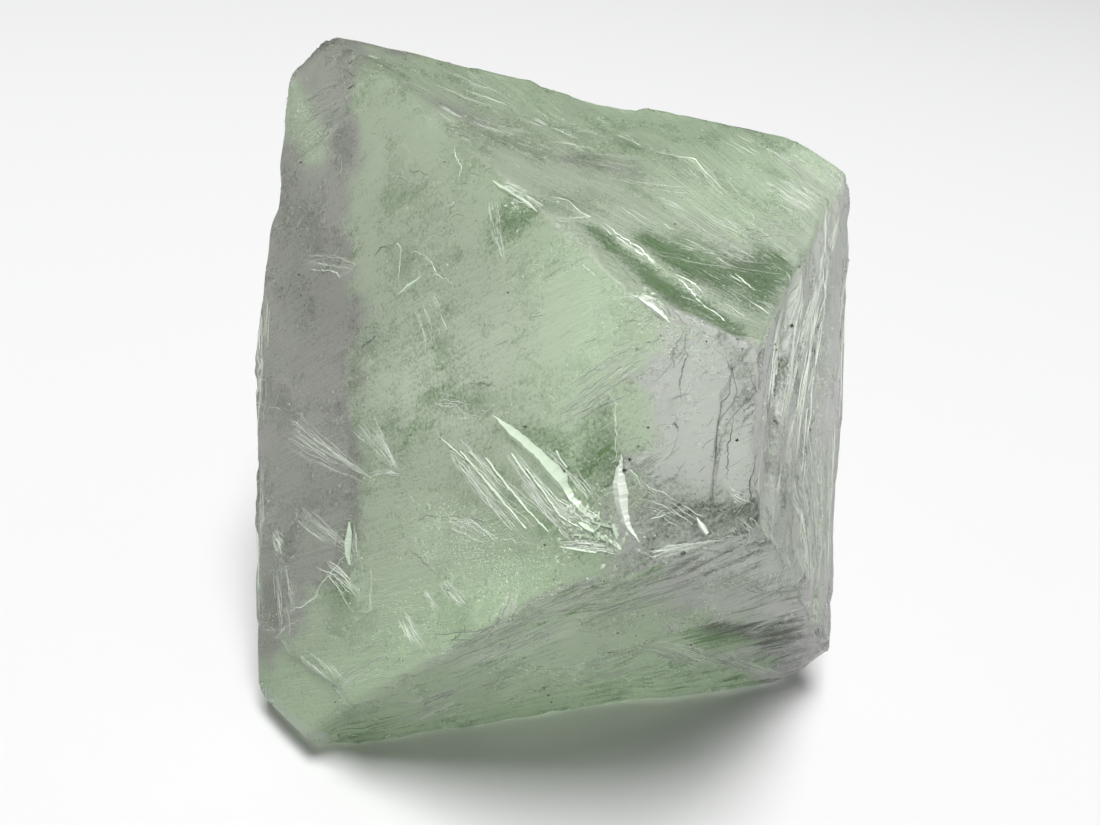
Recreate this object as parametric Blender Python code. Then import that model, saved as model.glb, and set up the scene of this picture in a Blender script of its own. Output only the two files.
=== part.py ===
"""A cleaved fluorite octahedron, modelled the way the real one is made.

Fluorite splits along four directions, which leaves eight faces: an octahedron.
A block is split here plane by plane, its long edges are worn, and thin cleavage
flakes are then broken off its faces. The crystal lies on one of its faces.
"""

import math

import bmesh
import bpy
from mathutils import Matrix, Vector

MM = 0.001                  # the sizes below are in millimetres
BLANK_SIDE = 60.0           # rough block, larger than the crystal
EDGE_WEAR = 0.45            # width of the worn band along the edges
EDGE_WEAR_STEPS = 2         # facets across that band
WORN_EDGE_ANGLE = 25.0      # degrees between two faces above which their edge wears

# Each cleavage face: azimuth from +X towards +Y, lean above the horizon, and
# distance from the heart of the crystal. A perfect octahedron lying on a face
# has leans of 90, 19.5 and -19.5 degrees; a hand-split one is a few degrees off.
FACES = {
    "top": (-16.0, 78.0, 12.5),
    "front": (-130.5, 22.0, 10.0),
    "front_spall": (-99.0, 23.5, 13.3),
    "right": (-17.0, 16.0, 12.7),
    "lower_front": (-70.5, -22.5, 12.2),
    "left_upper": (159.0, -9.0, 11.05),
    "left_lower": (159.5, -21.5, 10.35),
    "lower_back": (46.5, -23.0, 10.35),
    "upper_back": (102.5, 22.5, 11.0),
    "base": (0.0, -90.0, 11.6),
}

# The free tips are blunt: each is taken off by one small plane.
TIPS = {
    "tip_left_high": (156.5, 47.5, 19.1),
    "tip_left_low": (-128.0, -35.0, 17.95),
    "tip_back_right": (39.0, 31.0, 18.05),
    "tip_right_low": (-15.0, -35.0, 17.9),
    "tip_behind": (104.0, -41.0, 15.0),
}

# Cleavage flakes lost from the faces: the face, the height of the step that is
# left, how many degrees the flake thinned away from that step, and the straight
# breaks around it. A break stands square to the face. Its heading is the way
# from the break to the lost flake, measured in the face from level, and its
# distance runs from the middle of the face.
FLAKES = {
    "top_ledge": ("top", 0.28, 0.0, ((157, 5.1), (-84, 0.2))),
    "top_terrace": ("top", 0.22, 0.5, ((31, 3.6), (93, 1.4), (-87, -5.9))),
    "front_left_band": ("front", 0.15, 0.0, ((-165, 6.9), (-88, -6.2))),
    "front_foot": ("front", 0.30, 1.5, ((-86, 12.3),)),
    "spall_terrace": ("front_spall", 0.25, 0.0, ((-16, 6.1), (9, 8.1), (111, -2.4))),
    "right_ridge_strip": ("right", 0.40, 0.0, ((127, 6.3),)),
    "right_inner_blade": ("right", 0.20, 0.0, ((119, 2.8),)),
    "right_middle_blade": ("right", 0.16, 0.0, ((124, 4.6),)),
    "right_outer_blade": ("right", 0.14, 0.0, ((-45, 3.9),)),
    "right_foot": ("right", 0.12, 1.0, ((-132, 7.0),)),
    "lower_ridge_band": ("lower_front", 0.40, 1.0, ((146, 5.1), (-160, -0.4))),
    "lower_scoop": ("lower_front", 0.30, 0.0, ((-55, 0.2), (72, -1.2))),
    "lower_foot": ("lower_front", 0.25, 1.0, ((-91, 3.5), (-151, -0.1))),
    "back_notch": ("upper_back", 0.30, 0.0, ((180, -4.6),)),
    "back_break": ("upper_back", 0.60, 3.4, ((180, 0.9),)),
    "back_corner": ("upper_back", 0.30, 1.0, ((20, 8.5),)),
    "back_terrace": ("upper_back", 0.40, 0.0, ((-62, 3.4),)),
    "left_high_terrace": ("left_upper", 0.30, 0.5, ((118, 7.0),)),
    "left_low_terrace": ("left_lower", 0.30, 0.0, ((-92, 4.5), (170, 2.0))),
    "left_low_blade": ("left_lower", 0.20, 1.0, ((35, 8.0),)),
    "behind_terrace": ("lower_back", 0.35, 0.0, ((-88, 4.6), (-30, -6.0))),
    "behind_blade": ("lower_back", 0.25, 0.8, ((150, 6.2),)),
    "behind_crown": ("lower_back", 0.30, 2.0, ((80, 9.0),)),
    "base_corner": ("base", 0.30, 0.0, ((100, 10.5),)),
}


def facing(azimuth, lean):
    """Unit vector for an azimuth and a lean above the horizon, in degrees."""
    around, up = math.radians(azimuth), math.radians(lean)
    return Vector((math.cos(up) * math.cos(around), math.cos(up) * math.sin(around), math.sin(up)))


def in_face(azimuth, lean, heading):
    """Unit vector lying in a face, at a heading measured from its level line."""
    around, turn = math.radians(azimuth), math.radians(heading)
    level = Vector((-math.sin(around), math.cos(around), 0.0))
    uphill = facing(azimuth, lean).cross(level)
    return level * math.cos(turn) + uphill * math.sin(turn)


def flake_planes(face, step, taper, breaks):
    """The planes around a lost flake: its floor first, then its breaks."""
    azimuth, lean, distance = FACES[face]
    outward = facing(azimuth, lean)
    walls = [(in_face(azimuth, lean, heading), reach) for heading, reach in breaks]
    away, reach = walls[0]
    slope = math.tan(math.radians(taper))
    tilted = outward - away * slope
    floor = (tilted.normalized(), (distance - step - slope * reach) / tilted.length)
    return [floor, *walls]


def split_block(planes, keep_inside):
    """A closed block split along planes, of which one side of each is kept."""
    block = bmesh.new()
    bmesh.ops.create_cube(block, size=BLANK_SIDE * MM)
    for outward, distance in planes:
        cut = bmesh.ops.bisect_plane(
            block,
            geom=block.verts[:] + block.edges[:] + block.faces[:],
            dist=1e-7,
            plane_co=outward * distance * MM,
            plane_no=outward,
            clear_outer=keep_inside,
            clear_inner=not keep_inside,
        )
        rim = [part for part in cut["geom_cut"] if isinstance(part, bmesh.types.BMEdge)]
        bmesh.ops.edgeloop_fill(block, edges=rim)
    bmesh.ops.recalc_face_normals(block, faces=block.faces[:])
    return block


def wear_edges(block):
    """Blunt the edges between the main faces with a narrow rounded band."""
    sharpest = math.radians(WORN_EDGE_ANGLE)
    worn = [edge for edge in block.edges if edge.calc_face_angle(0.0) > sharpest]
    bmesh.ops.bevel(
        block,
        geom=worn,
        offset=EDGE_WEAR * MM,
        segments=EDGE_WEAR_STEPS,
        profile=0.5,
        affect="EDGES",
        clamp_overlap=True,
    )


def new_object(name, block, parent):
    """Put a finished block into the scene under its seat."""
    mesh = bpy.data.meshes.new(name)
    block.to_mesh(mesh)
    block.free()
    thing = bpy.data.objects.new(name, mesh)
    thing.parent = parent
    bpy.context.scene.collection.objects.link(thing)
    return thing


def fluorite_material():
    """Pale green fluorite: clear, low in refraction, with a frosted skin."""
    material = bpy.data.materials.new("green_fluorite")
    material.use_nodes = True
    shader = material.node_tree.nodes["Principled BSDF"]
    shader.inputs["Base Color"].default_value = (0.46, 0.66, 0.44, 1.0)
    shader.inputs["Roughness"].default_value = 0.35
    shader.inputs["Metallic"].default_value = 0.0
    shader.inputs["IOR"].default_value = 1.434
    shader.inputs["Transmission Weight"].default_value = 0.9
    return material


def break_off(crystal, name, planes, seat):
    """Cut one flake from the crystal with a hidden block of the flake's shape."""
    flake = new_object(name, split_block(planes, keep_inside=False), seat)
    flake.hide_render = True
    flake.display_type = "WIRE"
    cut = crystal.modifiers.new(name, "BOOLEAN")
    cut.operation = "DIFFERENCE"
    cut.solver = "EXACT"
    cut.object = flake


def seat_on_ground(seat, crystal):
    """Move the seat so the crystal's box stands centred on the ground plane."""
    bpy.context.view_layer.update()
    shaped = crystal.evaluated_get(bpy.context.evaluated_depsgraph_get())
    corners = [shaped.matrix_world @ Vector(corner) for corner in shaped.bound_box]
    low = Vector([min(corner[axis] for corner in corners) for axis in range(3)])
    high = Vector([max(corner[axis] for corner in corners) for axis in range(3)])
    middle = (low + high) / 2
    seat.matrix_world = Matrix.Translation((-middle.x, -middle.y, -low.z))


for leftover in list(bpy.data.objects):
    bpy.data.objects.remove(leftover, do_unlink=True)

seat = bpy.data.objects.new("seat", None)
bpy.context.scene.collection.objects.link(seat)

outer_planes = [*FACES.values(), *TIPS.values()]
shell = [(facing(azimuth, lean), distance) for azimuth, lean, distance in outer_planes]
body = split_block(shell, keep_inside=True)
wear_edges(body)
crystal = new_object("fluorite_crystal", body, seat)
crystal.data.materials.append(fluorite_material())

for flake_name, flake in FLAKES.items():
    break_off(crystal, flake_name, flake_planes(*flake), seat)

seat_on_ground(seat, crystal)
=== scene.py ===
"""A cleaved fluorite octahedron: the stone, the cracks in it and the dust on it.

Lengths are in millimetres until a mesh is made, and in metres from there on.
"""

from itertools import combinations

import bpy
import numpy as np
from mathutils import Matrix, Vector


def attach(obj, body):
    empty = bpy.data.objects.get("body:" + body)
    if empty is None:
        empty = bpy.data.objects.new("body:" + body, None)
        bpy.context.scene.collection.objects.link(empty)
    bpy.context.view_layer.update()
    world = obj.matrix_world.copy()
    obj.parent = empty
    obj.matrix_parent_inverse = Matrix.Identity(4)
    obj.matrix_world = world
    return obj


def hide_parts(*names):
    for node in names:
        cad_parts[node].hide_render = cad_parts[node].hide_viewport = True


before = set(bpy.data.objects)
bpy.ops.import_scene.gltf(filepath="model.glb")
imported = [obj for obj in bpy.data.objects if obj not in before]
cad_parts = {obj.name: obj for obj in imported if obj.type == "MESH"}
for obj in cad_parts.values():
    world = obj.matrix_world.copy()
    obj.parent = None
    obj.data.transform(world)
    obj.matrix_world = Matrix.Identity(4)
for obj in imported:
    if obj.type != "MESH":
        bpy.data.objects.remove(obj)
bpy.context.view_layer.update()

# ---- The stone -----------------------------------------------------------------
# One natural piece of fluorite, split by hand along its four cleavage directions,
# so eight faces. It has blunt tips, worn edges, and steps where flakes came off.
MM = 0.001
FACES = {  # azimuth from +X, lean above the horizon, distance from the stone's heart
    "top": (-16.0, 78.0, 12.5),
    "front": (-130.5, 22.0, 10.0),
    "front_spall": (-99.0, 23.5, 13.3),
    "right": (-17.0, 16.0, 12.7),
    "lower_front": (-70.5, -22.5, 12.2),
    "left_upper": (159.0, -9.0, 11.05),
    "left_lower": (159.5, -21.5, 10.35),
    "lower_back": (46.5, -23.0, 10.35),
    "upper_back": (102.5, 22.5, 11.0),
    "base": (0.0, -90.0, 11.6),
}
TIPS = {
    "tip_left_high": (156.5, 47.5, 19.6),
    "tip_left_low": (-128.0, -35.0, 17.95),
    "tip_back_right": (39.0, 31.0, 18.05),
    "tip_right_low": (-15.0, -35.0, 17.9),
    "tip_behind": (104.0, -41.0, 15.0),
}
FLAKES = (  # face, step height, taper, width of the broken side, breaks as (heading, distance)
    ("top", 0.12, 0.0, 0.30, ((157, 5.1), (-84, 0.2))),
    ("top", 0.22, 0.5, 0.40, ((31, 3.6), (93, 1.4), (-87, -5.9))),
    ("front", 0.15, 0.0, 1.20, ((-165, 6.9), (-88, -6.2))),
    ("front", 0.30, 1.5, 1.20, ((-86, 12.3),)),
    ("front_spall", 0.18, 0.0, 0.30, ((-16, 6.1), (9, 8.1), (111, -2.4))),
    ("right", 0.40, 0.0, 0.50, ((127, 6.3),)),
    ("right", 0.20, 0.0, 0.35, ((119, 2.8),)),
    ("right", 0.16, 0.0, 0.30, ((124, 4.6),)),
    ("right", 0.14, 0.0, 0.80, ((-45, 3.9),)),
    ("right", 0.12, 1.0, 0.80, ((-132, 7.0),)),
    ("lower_front", 0.40, 1.0, 2.20, ((146, 5.1), (-160, -0.4))),
    ("lower_front", 0.30, 0.0, 1.60, ((-55, 0.2), (72, -1.2))),
    ("lower_front", 0.25, 1.0, 1.20, ((-91, 3.5), (-151, -0.1))),
    ("upper_back", 0.30, 0.0, 0.25, ((180, -4.6),)),
    ("upper_back", 0.60, 3.4, 0.40, ((180, 0.9),)),
    ("upper_back", 0.30, 1.0, 0.50, ((20, 8.5),)),
    ("upper_back", 0.40, 0.0, 0.40, ((-62, 3.4),)),
    ("left_upper", 0.30, 0.5, 2.40, ((118, 7.0),)),
    ("left_lower", 0.30, 0.0, 0.40, ((-92, 4.5), (170, 2.0))),
    ("left_lower", 0.20, 1.0, 0.50, ((35, 8.0),)),
    ("lower_back", 0.35, 0.0, 0.40, ((-88, 4.6), (-30, -6.0))),
    ("lower_back", 0.25, 0.8, 0.50, ((150, 6.2),)),
    ("lower_back", 0.30, 2.0, 0.50, ((80, 9.0),)),
    ("base", 0.30, 0.0, 0.40, ((100, 10.5),)),
)
STREAKS = {  # where a face's streaks spread from, along its level line and uphill; their height
    "top": ((-6.4, -16.2), 0.12),
    "front": ((-60.0, -62.0), 0.07),
    "front_spall": ((-50.0, -56.0), 0.04),
    "right": ((12.0, 16.0), 0.22),
    "lower_front": ((-14.3, -8.0), 0.14),
    "left_upper": ((4.0, 30.0), 0.10),
    "left_lower": ((4.0, 34.0), 0.10),
    "lower_back": ((-20.0, 12.0), 0.14),
    "upper_back": ((16.0, -18.0), 0.14),
    "base": ((-30.0, -10.0), 0.06),
}
EDGE_CRISPNESS = 120  # higher gives sharper edges between the faces
WORN_ENDS = (  # direction of a worn end, how much of the crispness it loses, and its radius
    (164.0, 40.0, 0.55, 20.0),
    (-134.0, -35.0, 0.45, 26.0),
    (40.0, 30.0, 0.45, 14.0),
)
GRID_STEPS = 102  # cells along each side of a patch
CHIP_DEPTH, SWELL = 0.13, 0.10
FLUORITE_IOR = 1.434


def facing(azimuth, lean):
    """Unit vector for an azimuth and a lean above the horizon, in degrees."""
    around, up = np.radians(azimuth), np.radians(lean)
    return np.array([np.cos(up) * np.cos(around), np.cos(up) * np.sin(around), np.sin(up)])


def in_face(face, heading):
    """Unit vector lying in a face, at a heading measured from its level line."""
    azimuth, lean, _ = FACES[face]
    around, turn = np.radians(azimuth), np.radians(heading)
    level = np.array([-np.sin(around), np.cos(around), 0.0])
    uphill = np.cross(facing(azimuth, lean), level)
    return level * np.cos(turn) + uphill * np.sin(turn)


def flake_planes(face, step, taper, breaks):
    """The planes around a lost flake, its tapering floor first and then its breaks."""
    azimuth, lean, distance = FACES[face]
    walls = [(in_face(face, heading), reach) for heading, reach in breaks]
    away, reach = walls[0]
    slope = np.tan(np.radians(taper))
    tilted = facing(azimuth, lean) - away * slope
    size = np.linalg.norm(tilted)
    floor = (tilted / size, (distance - step - slope * reach) / size)
    return [floor, *walls]


def eased(low, high, values):
    """0 below low, 1 above high, and the smooth cubic 3t^2 - 2t^3 between."""
    part = np.clip((values - low) / (high - low), 0.0, 1.0)
    return part * part * (3.0 - 2.0 * part)


def cloud(points, cell, seed):
    """Smooth random values from -1 to 1. Each corner of a lattice of cells gets a random
    value from its three whole numbers, and 3t^2 - 2t^3 blends them across the cell."""
    spot = points / cell + 512.0
    corner = np.floor(spot).astype(np.int64)
    part = spot - corner
    part = part * part * (3.0 - 2.0 * part)
    total = np.zeros(len(points))
    for step in np.ndindex(2, 2, 2):
        x, y, z = (corner + step).T
        scrambled = (x * 73856093 ^ y * 19349663 ^ z * 83492791) + seed * 2654435761
        scrambled = ((scrambled >> 15) ^ scrambled) * 2246822519 & 0xFFFFFFFF
        scrambled = ((scrambled >> 13) ^ scrambled) * 3266489917 & 0xFFFFFFFF
        value = (scrambled >> 8 & 0xFFFF) / 32767.5 - 1.0
        total += value * np.where(step, part, 1.0 - part).prod(axis=1)
    return total


def stairs(values, steps):
    """Values turned into rounded stairs, v - sin(2 pi k v) / (2 pi k), k steps to the unit."""
    turn = 2.0 * np.pi * steps
    return values - 0.92 * np.sin(turn * values) / turn


SHELL = [(facing(*plane[:2]), plane[2]) for plane in [*FACES.values(), *TIPS.values()]]
LOST = [(flake[3], flake_planes(*flake[:3], flake[4])) for flake in FLAKES]


def grain(points, face):
    """Where points lie in a face's streaks: the distance from where the streaks spread,
    and the angle around it times the distance from there to the face's middle."""
    origin = np.array(STREAKS[face][0])
    level = points @ in_face(face, 0.0) - origin[0]
    uphill = points @ in_face(face, 90.0) - origin[1]
    middle = np.arctan2(-origin[1], -origin[0])
    turn = (np.arctan2(uphill, level) - middle + np.pi) % (2 * np.pi) - np.pi
    return np.stack([np.hypot(level, uphill), turn * np.linalg.norm(origin)], axis=1)


def skin(ways):
    """The skin's points along unit vectors from the heart, and which face each is on.

    Plane i is met at d_i / (n_i . w). The faces join in a p-norm, so that 1/r is the
    p-th root of the sum of (n_i . w / d_i)^p, which rounds their edges a little, and more
    at the worn ends, where p is lower. Then the lost flakes, chips along the edges,
    stepped streaks and a slow swell are added.
    """
    outward = np.array([plane[0] for plane in SHELL])
    distance = np.array([plane[1] for plane in SHELL])
    nearness = np.maximum(ways @ outward.T / distance, 0.0)
    ranked = np.sort(nearness, axis=1)
    nearest = ranked[:, -1]
    crispness = np.full(len(ways), float(EDGE_CRISPNESS))
    for azimuth, lean, loss, radius in WORN_ENDS:
        off = np.degrees(np.arccos(np.clip(ways @ facing(azimuth, lean), -1.0, 1.0)))
        crispness *= 1.0 - loss * (1.0 - eased(0.3 * radius, radius, off))
    spread = ((nearness / nearest[:, None]) ** crispness[:, None]).sum(axis=1)
    reach = 1.0 / (nearest * spread ** (1.0 / crispness))
    points = ways * reach[:, None]
    face = nearness.argmax(axis=1)

    ragged = 0.22 * cloud(points, 0.9, 11) + 0.10 * cloud(points, 0.4, 12)
    for width, planes in LOST:
        above = points @ planes[0][0] - planes[0][1]
        beyond = np.min([points @ n - d for n, d in planes[1:]], axis=0)
        near = eased(-0.5 * width, 0.5 * width, beyond + ragged)
        reach = reach - np.maximum(above, 0.0) * near / np.maximum(ways @ planes[0][0], 0.5)

    crest = 1.0 - eased(0.0, 0.04, 1.0 - ranked[:, -2] / nearest)
    chips = eased(0.1, 0.6, cloud(points, 1.3, 21) + 0.5 * cloud(points, 0.5, 22))
    streaks = np.zeros(len(points))
    for number, (name, (_, height)) in enumerate(STREAKS.items()):
        here = face == number
        along = np.append(grain(points[here], name), np.full((here.sum(), 1), number * 9.7), axis=1)
        broad = cloud(along * (0.16, 0.55, 1), 1.0, 31)
        fine = cloud(along * (0.4, 2.4, 1), 1.0, 32)
        streaks[here] = height * (stairs(broad, 3) + 0.22 * fine)
    reach = reach - CHIP_DEPTH * crest * chips + (1.0 - crest) * streaks + SWELL * cloud(points, 6.0, 41)
    return ways * reach[:, None], face


def meet(*names):
    """The point where three named faces meet, or the middle of the points of four or five."""
    spots = []
    for trio in combinations(names, 3):
        outward = np.array([facing(*FACES[name][:2]) for name in trio])
        if abs(np.linalg.det(outward)) > 0.05:
            spots.append(np.linalg.solve(outward, [FACES[name][2] for name in trio]))
    return np.mean(spots, axis=0)


CORNERS = {
    "high": meet("top", "front", "left_upper", "upper_back"),
    "low": meet("front", "left_lower", "lower_front", "base"),
    "back": meet("top", "right", "upper_back", "lower_back"),
    "side": meet("right", "lower_front", "base", "lower_back"),
    "behind": meet("left_lower", "base", "lower_back", "upper_back"),
    "apex_top": meet("top", "front_spall", "right"),
    "apex_low": meet("lower_front", "front_spall", "right"),
    "spall_top": meet("top", "front", "front_spall"),
    "spall_low": meet("lower_front", "front", "front_spall"),
    "fold_front": meet("front", "left_upper", "left_lower"),
    "fold_back": meet("left_upper", "left_lower", "upper_back"),
}
PATCHES = (  # triangles between corners, whose sides follow the stone's edges
    ("high", "spall_top", "back"), ("spall_top", "apex_top", "back"),
    ("high", "fold_front", "spall_top"), ("fold_front", "spall_low", "spall_top"),
    ("fold_front", "low", "spall_low"),
    ("spall_top", "spall_low", "apex_low"), ("spall_top", "apex_low", "apex_top"),
    ("apex_top", "apex_low", "side"), ("apex_top", "side", "back"),
    ("low", "side", "spall_low"), ("spall_low", "side", "apex_low"),
    ("high", "fold_back", "fold_front"),
    ("fold_front", "fold_back", "behind"), ("fold_front", "behind", "low"),
    ("high", "back", "fold_back"), ("fold_back", "back", "behind"),
    ("back", "side", "behind"), ("low", "behind", "side"),
)


def patch_grid(a, b, c, steps):
    """A triangle's grid: points a + u (b - a) + v (c - a) for whole steps of u and v
    with u + v at most 1, and the index triples of its small triangles."""
    rows, columns = np.meshgrid(np.arange(steps + 1), np.arange(steps + 1), indexing="ij")
    inside = rows + columns <= steps
    number = np.full((steps + 1, steps + 1), -1)
    number[inside] = np.arange(inside.sum())
    u, v = rows[inside] / steps, columns[inside] / steps
    points = a + u[:, None] * (b - a) + v[:, None] * (c - a)
    here, down, across = number[:-1, :-1], number[1:, :-1], number[:-1, 1:]
    opposite = number[1:, 1:]
    near = np.stack([here, down, across], axis=-1).reshape(-1, 3)
    far = np.stack([down, opposite, across], axis=-1).reshape(-1, 3)
    small = np.vstack([near, far])
    return points, small[(small >= 0).all(axis=1)]


def welded(parts):
    """Joins grids into one set of points and triangles, with shared points made one."""
    points = np.vstack([part[0] for part in parts])
    starts = np.cumsum([0] + [len(part[0]) for part in parts[:-1]])
    triangles = np.vstack([part[1] + start for part, start in zip(parts, starts)])
    _, first, again = np.unique(points.round(5), axis=0, return_index=True, return_inverse=True)
    return points[first], again.reshape(-1)[triangles]


corners_of = [[CORNERS[name] for name in patch] for patch in PATCHES]
grid_points, triangles = welded([patch_grid(*corners, GRID_STEPS) for corners in corners_of])
ways = grid_points / np.linalg.norm(grid_points, axis=1)[:, None]
stone_points, stone_faces = skin(ways)
middle = (stone_points.min(axis=0) + stone_points.max(axis=0)) / 2
HEART = np.array([-middle[0], -middle[1], -stone_points[:, 2].min()])

stone_mesh = bpy.data.meshes.new("fluorite_stone")
stone_mesh.from_pydata(((stone_points + HEART) * MM).tolist(), [], triangles.tolist())
stone_mesh.shade_smooth()
stone = bpy.data.objects.new("fluorite_stone", stone_mesh)
bpy.context.scene.collection.objects.link(stone)

face_of_triangle = np.sort(stone_faces[triangles], axis=1)[:, 1]
loop_spots = stone_points[triangles.reshape(-1)]
loop_faces = np.repeat(face_of_triangle, 3)
streak_places = np.zeros((len(loop_spots), 2))
for number, name in enumerate(FACES):
    here = loop_faces == number
    streak_places[here] = grain(loop_spots[here], name) + (0.0, 40.0 * number)
uv_layer = stone_mesh.uv_layers.new(name="streaks")
uv_layer.data.foreach_set("uv", streak_places.reshape(-1).astype(np.float32))


def on_skin(face, places):
    """The skin's points at places in a face, along its level line and uphill."""
    azimuth, lean, distance = FACES[face]
    across = places[..., :1] * in_face(face, 0.0) + places[..., 1:] * in_face(face, 90.0)
    spots = (facing(azimuth, lean) * distance + across).reshape(-1, 3)
    points, _ = skin(spots / np.linalg.norm(spots, axis=1)[:, None])
    return points.reshape(*places.shape[:-1], 3)


def beyond(azimuth, lean, distance, blur):
    """How far into the stone's part beyond a plane its points lie, from 0 to 1."""
    wobble = 0.9 * cloud(stone_points, 1.5, 51) + 0.5 * cloud(stone_points, 0.5, 52)
    return eased(-blur, blur, stone_points @ facing(azimuth, lean) - distance + wobble)


# Paler and darker stretches of the skin's tint. Those marked below are painted light and shade; the others
# make paler and darker patches.
TONES_AND_PAINTED_LIGHT = (  # face, strength, softness, and the way as level, uphill and radius
    ("front", 1.3, 0.60, ((-11.3, 8.4, 0.59), (-8.6, 7.9, 0.81))),
    ("front", 1.8, 0.70, ((-10.4, 10.0, 0.74), (-9.5, 7.5, 0.81))),
    ("front", 1.0, 0.45, ((-3.4, 9.9, 0.67), (-1.7, 9.8, 0.74))),
    ("front", -1.2, 0.60, ((2.3, 8.3, 0.74), (3.2, 8.9, 0.59))),
    ("front", -0.4, 1.00, ((0.5, 4.9, 1.11), (-1.0, 3.0, 0.89))),
    ("front", -0.9, 1.20, ((-2.0, 2.5, 0.52), (2.4, 2.2, 1.48), (0.9, -0.9, 1.11))),
    ("front", 0.8, 1.00, ((5.2, 8.0, 1.11), (7.7, 6.8, 1.48))),
    ("front", -0.9, 0.40, ((1.1, 1.1, 0.37), (3.9, 2.3, 0.33))),
    ("front", -1.0, 0.40, ((5.3, 1.8, 0.37), (7.3, 2.4, 0.59), (9.1, 2.2, 0.52))),
    ("front", -0.8, 0.40, ((6.1, 0.6, 0.30), (8.4, 0.2, 0.37), (9.7, -0.0, 0.30))),
    ("front", -1.0, 0.22, ((9.0, 4.8, 0.33), (9.3, 3.8, 0.63), (9.9, 2.7, 0.67),
        (10.6, 1.6, 0.44), (11.2, 1.2, 0.22))),
    # painted light: the glow where light comes through the stone low on the front
    ("front", 2.6, 0.80, ((3.9, -4.5, 0.74), (4.4, -2.5, 0.81), (7.0, -2.7, 1.11))),
    ("front", 2.8, 0.90, ((8.0, -3.7, 1.11), (9.4, -1.8, 0.96))),
    ("front", 0.8, 0.80, ((3.9, -6.8, 1.11), (6.2, -6.7, 0.96))),
    ("front", -0.8, 0.50, ((0.4, -7.9, 0.44), (1.2, -8.1, 0.37))),
    ("front", -0.5, 0.60, ((-7.9, 2.8, 0.59), (-8.0, 1.8, 0.67))),
    ("front", -0.5, 0.80, ((-1.0, -12.1, 0.59), (1.7, -11.7, 0.81), (5.4, -10.0, 0.67))),
    ("front", -0.5, 0.30, ((-5.0, 5.6, 0.19), (0.9, -6.4, 0.22))),
    ("front_spall", 1.0, 0.70, ((4.7, 6.3, 0.52), (6.3, 4.7, 1.33), (7.0, 2.8, 1.26))),
    ("front_spall", -0.8, 0.60, ((5.4, 0.3, 0.67), (7.5, 0.4, 0.81), (9.1, 0.9, 0.59))),
    ("front_spall", -0.8, 0.50, ((5.9, -1.0, 0.74), (7.7, -0.4, 0.81), (9.3, 0.3, 0.67))),
    # painted shade: a dark ribbon where an inner edge shows through the clear part
    ("front_spall", -1.3, 0.14, ((7.2, 5.8, 0.15), (7.7, 5.5, 0.22), (8.2, 5.0, 0.30),
        (8.6, 4.6, 0.26), (8.3, 4.0, 0.22), (8.0, 2.9, 0.19), (7.9, 1.9, 0.11), (8.2, 0.0, 0.04))),
    # painted shade: the lit slope of a flake along the top's near edge, painted dark
    ("top", -2.6, 0.25, ((-6.3, -0.1, 0.22), (-7.1, -2.3, 0.52), (-8.0, -4.4, 0.63),
        (-8.4, -6.3, 0.37))),
    ("top", -3.0, 0.80, ((-5.3, -2.2, 0.52), (-5.6, -4.2, 0.96), (-5.5, -5.9, 1.11),
        (-2.1, -6.4, 0.67))),
    ("top", -0.8, 0.70, ((-0.6, 1.8, 0.74), (2.6, 0.6, 0.59))),
    ("top", -0.5, 0.80, ((-1.8, 7.6, 0.59), (-2.5, 4.2, 0.67))),
    ("top", 0.6, 0.70, ((4.1, 0.6, 0.67), (4.6, -3.6, 0.96))),
    # painted highlight: the far end of the top, paler where it takes a glare
    ("top", 1.8, 0.60, ((12.8, -4.6, 0.37), (10.4, -6.2, 0.59), (7.9, -7.7, 0.37))),
    # painted light: the lower front, which faces down into shade, lifted paler
    ("lower_front", 2.1, 3.00, ((-7.5, -2.3, 2.22), (-2.0, 0.1, 2.22), (2.5, 4.7, 2.22))),
    ("lower_front", 2.8, 0.35, ((3.1, 4.6, 0.37), (3.0, 6.8, 0.59), (4.3, 6.7, 0.59))),
    ("lower_front", -2.6, 0.60, ((3.7, 0.7, 0.67), (6.5, -0.7, 1.48), (9.1, -1.8, 1.04))),
    ("lower_front", -1.0, 0.40, ((-0.6, 8.9, 0.37), (1.6, 6.3, 0.44), (2.0, 3.9, 0.30))),
    ("lower_front", 1.2, 0.25, ((2.1, -0.8, 0.30), (5.2, -3.0, 0.30), (10.1, -6.0, 0.22))),
    ("lower_front", -1.2, 0.60, ((-9.8, -5.9, 0.37), (-5.0, -2.2, 0.59), (-2.5, 2.4, 0.37))),
    ("lower_front", 0.8, 0.60, ((-4.9, -6.2, 0.37), (-1.2, -4.1, 0.59), (2.6, -4.1, 0.52))),
    ("lower_front", 0.8, 0.50, ((-5.2, 4.3, 0.44), (-3.2, 5.5, 0.52))),
    # painted reflection: the right face made paler for the white sheen it takes at a grazing angle
    ("right", 1.9, 1.50, ((7.5, 4.7, 0.96), (-1.8, -1.4, 1.26), (-1.7, -8.3, 1.04))),
    # painted shade: dark ribbons where inner edges show through the right face
    ("right", -2.4, 0.12, ((-3.3, 5.3, 0.07), (-4.2, 4.7, 0.22), (-5.4, 4.3, 0.19), (-6.9, 4.2, 0.04))),
    ("right", -1.0, 0.30, ((-7.7, 7.8, 0.11), (-7.0, 6.3, 0.19), (-8.3, 4.7, 0.19), (-9.6, 3.1, 0.15))),
    ("right", -0.9, 0.30, ((-10.8, 1.5, 0.19), (-9.4, -2.2, 0.30), (-7.0, -6.0, 0.30))),
)
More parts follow.
